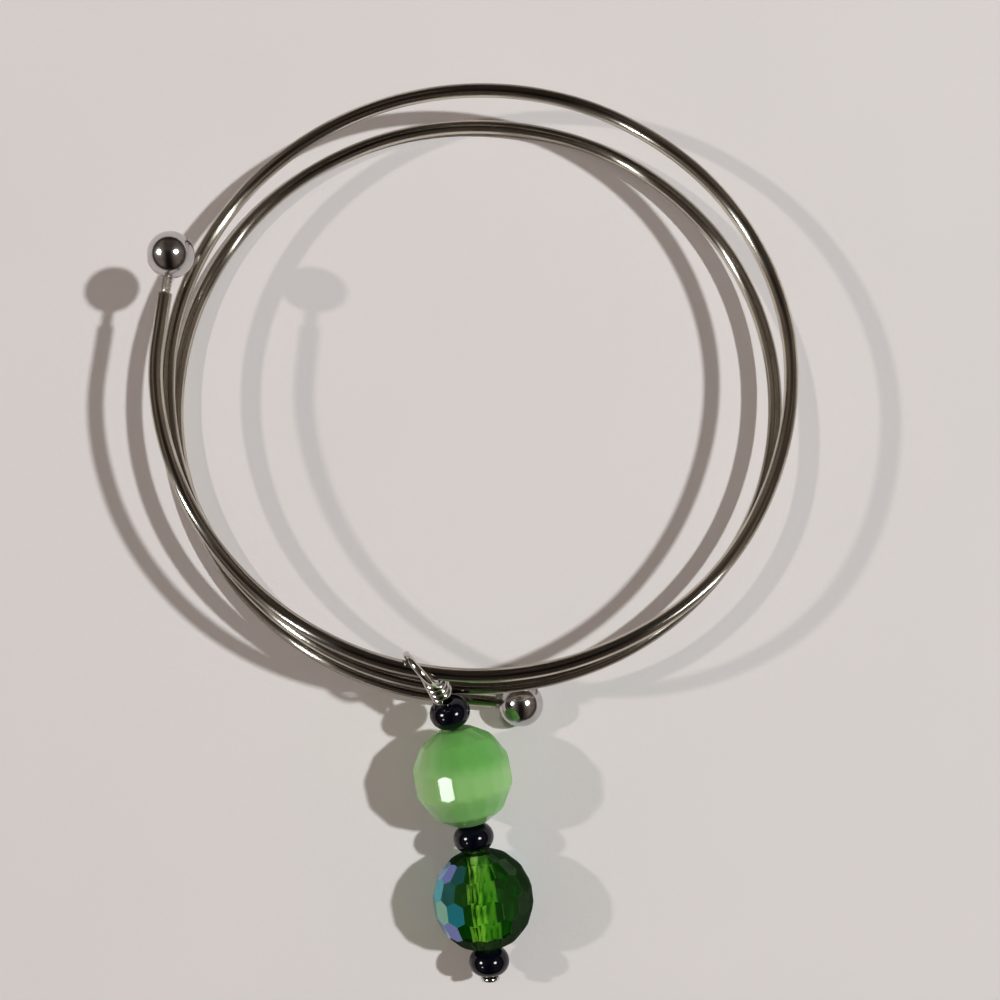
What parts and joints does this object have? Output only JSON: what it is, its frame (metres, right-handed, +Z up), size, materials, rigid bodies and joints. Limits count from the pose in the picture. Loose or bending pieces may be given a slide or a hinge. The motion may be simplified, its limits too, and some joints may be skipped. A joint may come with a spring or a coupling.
{
  "type": "beaded charm bangle",
  "caption": "Springy steel coil bangle with a screw-on ball at each end and a hanging charm of green glass and small black beads.",
  "frame": {"origin": "on the table, at the coil's axis", "axes": "+Z up from the table along the coil's axis, -Y towards the charm's head end, +X to the right seen from above"},
  "size_m": [0.0637, 0.0904, 0.0147],
  "materials": {
    "polished_wire": "polished steel",
    "polished_ball": "polished steel",
    "bright_pin": "bright plated wire",
    "black_glass": "black glass, very glossy",
    "cats_eye_glass": "milky green fibre glass, faceted",
    "crystal_glass": "clear dark green glass, faceted, part coated"
  },
  "bodies": {
    "root": {"bangle_wire": "polished_wire", "ball_end_upper": "polished_ball", "ball_end_lower": "polished_ball", "charm_pin": "bright_pin", "bead_black_top": "black_glass", "bead_cats_eye": "cats_eye_glass", "bead_black_middle": "black_glass", "bead_crystal": "crystal_glass", "bead_black_bottom": "black_glass"}
  },
  "joints": []
}
